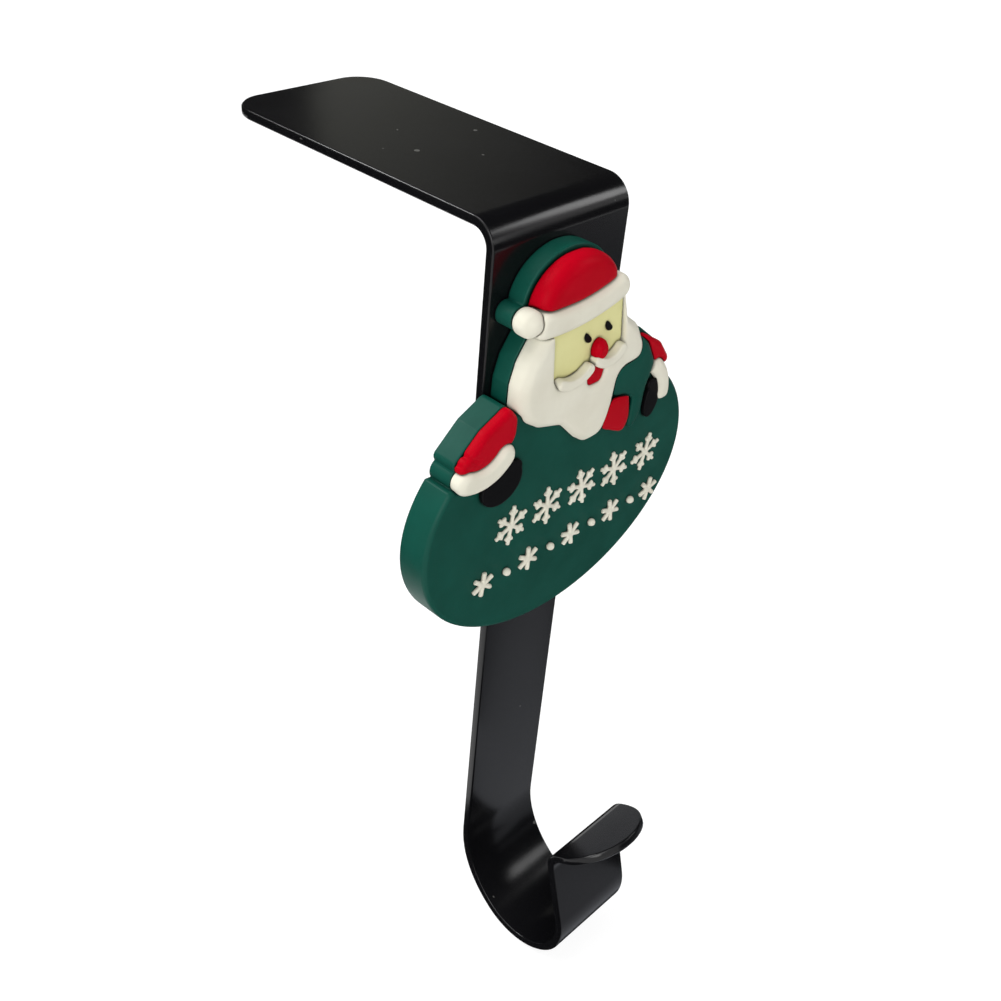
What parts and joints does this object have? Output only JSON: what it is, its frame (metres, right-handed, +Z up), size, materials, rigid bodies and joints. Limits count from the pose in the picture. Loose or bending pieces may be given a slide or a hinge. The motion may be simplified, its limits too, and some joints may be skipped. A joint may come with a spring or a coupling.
{
  "type": "mantel stocking holder",
  "caption": "Folded black steel strip that hooks over a mantel's edge, with an open J-hook below for a stocking and a soft PVC winter badge glued to its front.",
  "frame": {"origin": "the mantel's upper front edge: where the plane of the arm's underside meets the plane of the leg's back, on the strip's centre line", "axes": "+X to the right seen from the front, +Y back along the arm, +Z up along the leg; the front with the badge faces -Y"},
  "size_m": [0.0628, 0.0947, 0.1516],
  "materials": {
    "black_paint": "gloss black powder coat over folded steel strip",
    "green_pvc": "satin dark green soft PVC",
    "red_pvc": "satin red soft PVC",
    "cream_pvc": "satin cream soft PVC",
    "skin_pvc": "satin pale yellow soft PVC",
    "black_pvc": "satin black soft PVC"
  },
  "bodies": {
    "root": {"bracket": "black_paint", "badge_base": "green_pvc", "beard": "cream_pvc", "face": "skin_pvc", "cap": "red_pvc", "cap_brim": "cream_pvc", "pompom": "cream_pvc", "eyes": "black_pvc", "nose": "red_pvc", "moustache": "cream_pvc", "mouth": "red_pvc", "sleeve_left": "red_pvc", "sleeve_right": "red_pvc", "cuff_left": "cream_pvc", "cuff_right": "cream_pvc", "mitten_left": "black_pvc", "mitten_right": "black_pvc", "scarf": "green_pvc", "scarf_tail": "red_pvc"}
  },
  "joints": []
}
